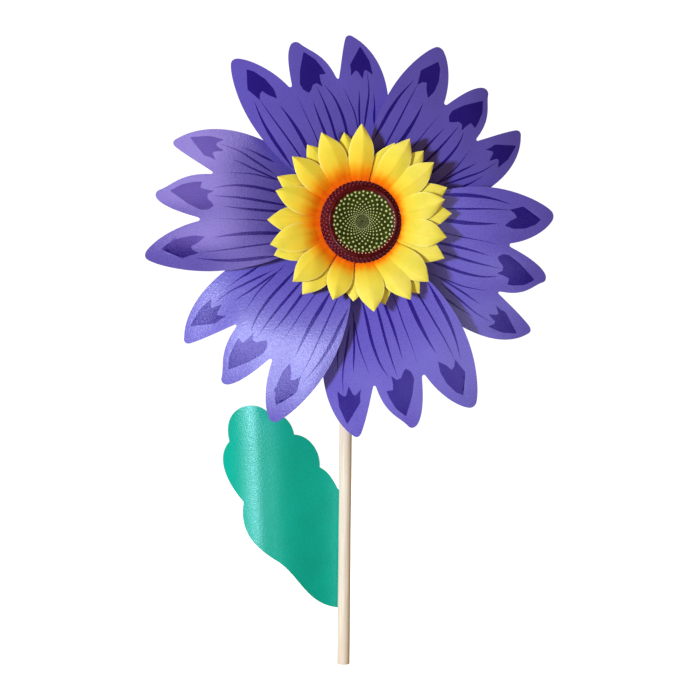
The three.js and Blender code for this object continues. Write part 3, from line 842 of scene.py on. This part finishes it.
# Profile from the middle of the face over the crest to the back edge, as (radius, s).
DOME_FACE = [(0, CREST - DISH), (12, CREST - 0.86 * DISH), (22, CREST - 0.5 * DISH), (29.2, CREST - 1),
             (31.4, CREST - 0.3), (34.2, CREST - 2.2), (36.7, CREST - 7.5), (37.7, 65.4), (37.7, 62.4)]


def seed_head():
    """Dished shell that carries the seeds."""
    outer = spline(DOME_FACE, 60)
    outer[-1] = DOME_FACE[-1]
    outer[:, 0] = np.minimum(outer[:, 0], 37.7)
    inner = [(35.9, 62.4), (34.6, CREST - 8), (31.6, CREST - 3), (22, CREST - 2 - 0.5 * DISH),
             (12, CREST - 2 - 0.86 * DISH), (0, CREST - 2 - DISH)]
    points, faces = turned(inner[::-1] + [tuple(p) for p in outer[::-1]], 128)
    radii = np.array([math.hypot(p[0] * 1000, p[2] * 1000 - HUB) for p in points])
    reach = [max(radii[list(f)]) for f in faces]
    kinds = [2 if r < 6.5 else 0 if r < 28.6 else 1 for r in reach]
    head = mesh_piece("seed_head", points, faces, [DARK_GREEN, DARK_RED, HEART], "wheel",
                      ["seed_dome"], kinds, 60)
    head.visible_shadow = False


def ball(rings=7, sides=10):
    """Unit ball as points and faces, its pole along the last axis."""
    points = [(0, 0, -1)]
    for i in range(1, rings):
        a = math.pi * i / rings
        for j in range(sides):
            b = 2 * math.pi * j / sides
            points.append((math.sin(a) * math.cos(b), math.sin(a) * math.sin(b), -math.cos(a)))
    points.append((0, 0, 1))
    faces = []
    for j in range(sides):
        k = (j + 1) % sides
        faces.append([0, 1 + k, 1 + j])
        for i in range(rings - 2):
            a, b = 1 + i * sides, 1 + (i + 1) * sides
            faces.append([a + j, a + k, b + k, b + j])
        last = 1 + (rings - 2) * sides
        faces.append([last + j, last + k, len(points) - 1])
    return np.array(points), faces


def bead_field(name, beads_list, material):
    """Beads given as (x, y, s, radius, height, normal), as one piece."""
    unit, unit_faces = ball()
    points, faces, crown = [], [], []
    for x, y, s, size, height, normal in beads_list:
        upright = Vector(normal).normalized()
        basis = np.array(Vector((0, 0, 1)).rotation_difference(upright).to_matrix())
        placed = unit * np.array([size, size, height]) @ basis.T + np.array([x, y, s])
        start = len(points)
        points += list(placed)
        crown += list((unit[:, 2] + 1) / 2)
        faces += [[start + i for i in f] for f in unit_faces]
    points = np.array(points)
    rows = at(points[:, 0], points[:, 1] + HUB, points[:, 2])
    field = mesh_piece(name, rows, faces, [material], "wheel", sharp=0,
                       attributes={"crown": crown})
    field.visible_shadow = False


def dome_height(r):
    """Height of the dished face at a radius."""
    curve = spline(DOME_FACE, 200)
    return float(np.interp(r, curve[:160, 0], curve[:160, 1]))


def on_dome(radius, angle, size, height):
    """Seed on the dished face, leaning with its slope."""
    slope = dome_height(radius + 0.5) - dome_height(radius - 0.5)
    x, y = polar(angle, radius)
    lean = polar(angle, -slope)
    return x, y, dome_height(radius), size, height, (*lean, 1)


def seeds():
    """Red seeds over the side and crest, small pale ones inside them, green ones over the face."""
    curve = spline(DOME_FACE, 400)[::-1]
    lengths = np.concatenate([[0], np.cumsum(np.hypot(*np.diff(curve, axis=0).T))])
    red = []
    for ring, distance in enumerate((1.9, 5.7, 9.5, 13.2)):
        i = int(np.searchsorted(lengths, distance))
        along = curve[i + 1] - curve[i - 1]
        out = np.array([along[1], -along[0]]) / np.hypot(*along)
        for k in range(RED_SEEDS_ROUND):
            angle = 360 / RED_SEEDS_ROUND * (k + 0.5 * (ring % 2))
            red.append((*polar(angle, curve[i, 0]), curve[i, 1], 1.45, 0.7,
                        (*polar(angle, out[0]), out[1])))
    pale = [on_dome(29.6, 360 / RED_SEEDS_ROUND * (k + 0.25), 0.75, 0.7) for k in range(11, 37)]
    green = []
    for k in range(44):
        green.append(on_dome(26.5 if k % 2 else 27.6, 360 / 44 * k, 1.3, 1.0))
    radius, size = 24.1, 1.28
    for ring in range(9):
        for k in range(22):
            green.append(on_dome(radius, 360 / 22 * (k + 0.5 * (ring % 2)), size, 0.8 * size))
        radius, size = radius * 0.872, size * 0.895
    fine = [on_dome(6.9, 360 / 44 * k, 0.42, 0.4) for k in range(44)]
    for radius in (5.6, 4.6, 3.6, 2.6, 1.5):
        count = round(6.8 * radius)
        fine += [on_dome(radius, 360 / count * k, 0.22, 0.2) for k in range(count)]
    bead_field("red_seeds", red, RED_BEADS)
    bead_field("pale_seeds", pale, PALE_BEADS)
    bead_field("green_seeds", green + fine, GREEN_BEADS)


# ---- Hub and axle fittings ----

RINGS = [
    # name, outer radius, back, front, material, slot, CAD node and fillet
    ("rear_washer_steel", 5.5, -7.1, -6.3, STEEL, "pin_steel", "rear_washer", 0.15),
    ("thrust_washer_steel", 5.5, 36.3, 37.1, STEEL, "pin_steel", "thrust_washer", 0.15),
    ("spacer_tube", 4.6, 6.3, 36, WHITE, "hub_plastic", "spacer_sleeve", 0.3),
]
PIN_HOLE = 2.35   # radius


def fittings():
    """Washers and sleeve on the pin, and the cap on its tail."""
    for name, outer, back, front, material, slot, node, fillet in RINGS:
        profile = [(PIN_HOLE, back), (outer, back), (outer, front), (PIN_HOLE, front)]
        points, faces = turned(rounded(profile, fillet), closed=True)
        mesh_piece(name, points, faces, [material], "stand", [node], sharp=40)
    cap = [(0, -13), (3.2, -13), (5.2, -12.6), (6.2, -11.6), (6.5, -10.2), (6.5, -8.8), (6.1, -8.6),
           (6.1, -8.2), (6.5, -8), (6.5, -7.4), (PIN_HOLE, -7.4), (PIN_HOLE, -11.8), (0, -11.8)]
    points, faces = turned(cap)
    mesh_piece("push_cap", points, faces, [BLACK], "stand", ["rear_cap"], sharp=30)


def hub():
    """Rear plate with boss, a ribbed recess in its back and one peg for each vane."""
    back = -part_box("hub_plate")[1].y * 1000
    front, floor = back + 2.5, back + 1.3
    profile = [(4.3, back), (8.5, back), (9.4, floor), (24.4, floor), (25.4, back), (28, back),
               (28, front), (8, front), (8, 47), (4.3, 47)]
    points, faces = turned(rounded(profile, 0.35), closed=True)
    for k in range(6):
        x, y = polar(FIRST_VANE_ANGLE + 60 * k, PEG)
        add_post(points, faces, x, y + HUB, 2.0, front - 0.6, front + 4.6)
    for k in range(12):
        add_rib(points, faces, 30 * k, 8.8, 25, 0.6, back + 0.2, floor + 0.4)
    mesh_piece("hub_disc", points, faces, [WHITE], "wheel", ["hub_plate"], sharp=35)


def add_rib(points, faces, angle, inner, outer, half, back, front):
    """Low radial rib, tapered a little towards its back edge."""
    start = len(points)
    for s, width in ((back, 0.7 * half), (front, half)):
        for radius, side in ((inner, -width), (outer, -width), (outer, width), (inner, width)):
            x, y = polar(angle, radius)
            dx, dy = polar(angle + 90, side)
            points.append(at(x + dx, y + dy + HUB, s))
    for face in ((0, 1, 2, 3), (7, 6, 5, 4), (0, 4, 5, 1), (1, 5, 6, 2), (2, 6, 7, 3), (3, 7, 4, 0)):
        faces.append([start + i for i in face])


def add_post(points, faces, x, y, radius, back, front):
    """Short round peg with a chamfered end."""
    profile = [(0, back), (radius, back), (radius, front - 0.4), (radius - 0.4, front), (0, front)]
    start = len(points)
    post_points, post_faces = turned(profile, 24, centre=(x, y))
    points += post_points
    faces += [[start + i for i in face] for face in post_faces]


def calyx():
    """Green cup behind the petals, fluted into sepals round its edge."""
    sides = 168
    rows = [(3.3, 57.5), (3.3, 55.5), (8.3, 55.5), (8.3, 44.8), (9.4, 44.8), (11.8, 45), (12.8, 46.2),
            (14.3, 48.8), (18, 51.4), (22, 53.2), (25.5, 54.5), (28.4, 55.2), (30, 56.1), (30, 57.2),
            (29.4, 57.5), (16, 57.5)]
    points, faces = [], []
    for r, s in rows:
        flute = smooth((r - 12) / 12) * (1 if s < 57.4 else 0)
        for i in range(sides):
            wave = abs(math.sin(math.pi * 14 * i / sides)) ** 0.7
            x, y = polar(360 * i / sides, r - 1.2 * flute * (1 - wave) * (1 if r > 26 else 0.3))
            points.append(at(x, y + HUB, s - 0.5 * flute * wave))
    count = len(rows)
    for row in range(count):
        low, high = row * sides, ((row + 1) % count) * sides
        for i in range(sides):
            j = (i + 1) % sides
            faces.append([low + i, low + j, high + j, high + i])
    mesh_piece("calyx_sepals", points, faces, [GREEN], "wheel", ["calyx_cup"], sharp=40)


def carried_over():
    """Materials of the CAD nodes that show as they are."""
    kept = {"axle_pin": STEEL, "head_washer": STEEL, "hub_bush": NYLON, "clamp_plate": WHITE,
            "post_clip": STEEL, "dome_post": BLACK, "leaf_staple_lower": STEEL,
            "leaf_staple_upper": STEEL}
    for name, material in kept.items():
        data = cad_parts[name].data
        data.materials.clear()
        data.materials.append(material)


# ---- Stage ----

def stage_material(name, color, glow):
    n = Nodes(name)
    base = n.mix(n.noise(3, 2), color, tuple(c * 0.985 for c in color))
    return n.finish(base, 0.9, Emission_Color=(1, 1, 1, 1), Emission_Strength=glow,
                    Specular_IOR_Level=0.0)


def stage():
    """Pale floor that lets light through, and a white surround that only the camera sees."""
    sides, floor_radius, surround_radius = 96, 3.2, 9
    points = [(0, 0, 0)]
    for i in range(sides):
        a = 2 * math.pi * i / sides
        points.append((floor_radius * math.cos(a), floor_radius * math.sin(a), 0))
    faces = [[0, 1 + i, 1 + (i + 1) % sides] for i in range(sides)]
    floor = new_mesh("floor", points, faces)
    floor.materials.append(stage_material("pale_floor", (0.9, 0.9, 0.9), 0.86))
    floor_object = new_object("floor", floor)
    floor_object.visible_glossy = False
    floor_object.visible_diffuse = False
    floor_object.visible_shadow = False
    unit, ball_faces = ball(24, 48)
    surround = new_mesh("surround", unit * surround_radius, [f[::-1] for f in ball_faces])
    surround.polygons.foreach_set("use_smooth", np.ones(len(surround.polygons), bool))
    surround.materials.append(stage_material("white_surround", (0.2, 0.2, 0.2), 1.0))
    surround_object = new_object("surround", surround)
    for ray in ("diffuse", "glossy", "transmission", "volume_scatter", "shadow"):
        setattr(surround_object, f"visible_{ray}", False)
    world = bpy.data.worlds.new("studio")
    world.use_nodes = True
    background = world.node_tree.nodes["Background"]
    background.inputs["Color"].default_value = (1.0, 0.78, 0.52, 1)
    background.inputs["Strength"].default_value = 0.4
    world.cycles_visibility.glossy = False
    bpy.context.scene.world = world
    bpy.context.scene.view_settings.view_transform = "Standard"


def softbox(name, direction, distance, width, height, radiance, color=(1.0, 1.0, 1.0)):
    """Area light aimed at the flower; direction in front axes, radiance relative to white paper."""
    aim = Vector(at(0, 380, 30))
    x, y = direction
    offset = Vector((x, -math.sqrt(max(0.1, 1 - x * x - y * y)), y)).normalized() * distance
    light = bpy.data.lights.new(name, "AREA")
    light.shape = "RECTANGLE"
    light.size, light.size_y = width, height
    light.color = color
    light.energy = radiance * math.pi * width * height
    obj = new_object(name, light)
    obj.location = aim + offset
    obj.rotation_euler = (-offset).to_track_quat("-Z", "Y").to_euler()
    return obj


def only_for(light, names, state="INCLUDE"):
    """Limits a light to some of the pieces, or with EXCLUDE to all others."""
    receivers = bpy.data.collections.new(light.name + "_receivers")
    for name in names:
        receivers.objects.link(bpy.data.objects[name])
    for entry in receivers.collection_objects:
        entry.light_linking.link_state = state
    light.light_linking.receiver_collection = receivers


def lights():
    """A hard key from the left, soft fills, and reflector cards that only show as sheen."""
    pale_blue, cool, violet = (0.8, 0.88, 1.0), (0.84, 0.91, 1.0), (0.86, 0.7, 1.0)
    right_vanes = ["vane_film_3", "vane_film_4"]
    head = ["seed_head", "red_seeds", "pale_seeds", "green_seeds"]
    for name, radiance, state in (("key_left", 335, "EXCLUDE"), ("key_left_vane", 203, "INCLUDE")):
        key = softbox(name, (-0.7, -0.05), 1.9, 0.2, 0.2, radiance, (0.75, 0.86, 1.0))
        key.visible_glossy = False
        only_for(key, ["vane_film_6"], state)
    # Fills: name, direction, radiance, colour and the pieces they light.
    fills = [
        ("fill_low", (-0.2, -0.8), 1.5, pale_blue, ["vane_film_5"]),
        ("fill_low_right", (-0.1, -0.8), 7, pale_blue, right_vanes),
        ("fill_right", (0.6, -0.5), 4, pale_blue, right_vanes),
        ("fill_petals", (0.5, 0.2), 5, (1.0, 1.0, 1.0), ["petals_before", "petals_behind"]),
    ]
    for name, direction, radiance, color, receivers in fills:
        fill = softbox(name, direction, 2.0, 0.5, 0.5, radiance, color)
        fill.visible_glossy = False
        only_for(fill, receivers)
    # Name, direction, width, height, radiance, colour and the pieces it shows on.
    cards = [
        ("card_left_low", (-0.22, -0.16), 0.6, 0.5, 20, cool, ["vane_film_5"]),
        ("card_low", (-0.22, -0.44), 0.6, 0.8, 13, cool, ["vane_film_5"]),
        ("card_far_left", (-0.45, -0.16), 0.4, 0.5, 8, cool, ["vane_film_5"]),
        ("card_high", (-0.36, 0.5), 1.6, 1.5, 7.5, violet, ["vane_film_6"]),
        ("card_right_low", (0.35, -0.5), 1.8, 1.2, 2.2, cool, right_vanes),
        ("card_leaf", (-0.22, -0.08), 0.4, 0.4, 44, cool, ["leaf_film"]),
        ("card_leaf_left", (-0.42, -0.08), 0.6, 0.4, 15, cool, ["leaf_film"]),
        ("card_leaf_right", (0.14, -0.08), 0.3, 0.4, 6, cool, ["leaf_film"]),
        ("card_head", (-0.5, -0.5), 0.14, 0.14, 200, cool, head),
        ("card_head_left", (-0.55, 0.1), 0.4, 0.5, 12, cool, head),
    ]
    for name, direction, width, height, radiance, color, receivers in cards:
        card = softbox(name, direction, 2.2, width, height, radiance, color)
        card.visible_diffuse = False
        only_for(card, receivers)
    behind = softbox("fill_behind", (0.5, 0.35), 2.4, 1.2, 1.2, 6)
    behind.location.y = 1.9
    behind.rotation_euler = (behind.location - Vector((0, 0, 0.38))).to_track_quat("Z", "Y").to_euler()


CAMERA_DISTANCE = 1.92
CAMERA_TURN = math.radians(11)     # to the left of the flower's own direction
CAMERA_ROLL = math.radians(0.57)
HALF_VIEW = 0.336                  # half the width that the picture takes in at the stick, m
AIM_RIGHT, AIM_UP = 0.00336, 0.3014   # the picture's centre, from the stick's foot, m


def camera():
    lens = bpy.data.cameras.new("camera")
    lens.sensor_width = 36
    lens.angle = 2 * math.atan(HALF_VIEW / CAMERA_DISTANCE)
    lens.clip_start, lens.clip_end = 0.05, 60
    obj = new_object("camera", lens)
    right = Vector((math.cos(CAMERA_TURN), -math.sin(CAMERA_TURN), 0))
    ahead = Vector((math.sin(CAMERA_TURN), math.cos(CAMERA_TURN), 0))
    basis = Matrix((right, Vector((0, 0, 1)), -ahead)).transposed()
    roll = Matrix.Rotation(CAMERA_ROLL, 3, "Z")
    place = -CAMERA_DISTANCE * ahead + AIM_RIGHT * right + Vector((0, 0, AIM_UP))
    obj.matrix_world = Matrix.Translation(place) @ (basis @ roll).to_4x4()
    bpy.context.scene.camera = obj


camera()
stick()
vanes()
leaf()
petal_layer("petals_behind", REAR_PETALS, 58.8, 9, 1.8, "petals_rear")
petal_layer("petals_before", FRONT_PETALS, 61.1, 13, 2.6, "petals_front")
seed_head()
seeds()
fittings()
hub()
calyx()
carried_over()
stage()
lights()
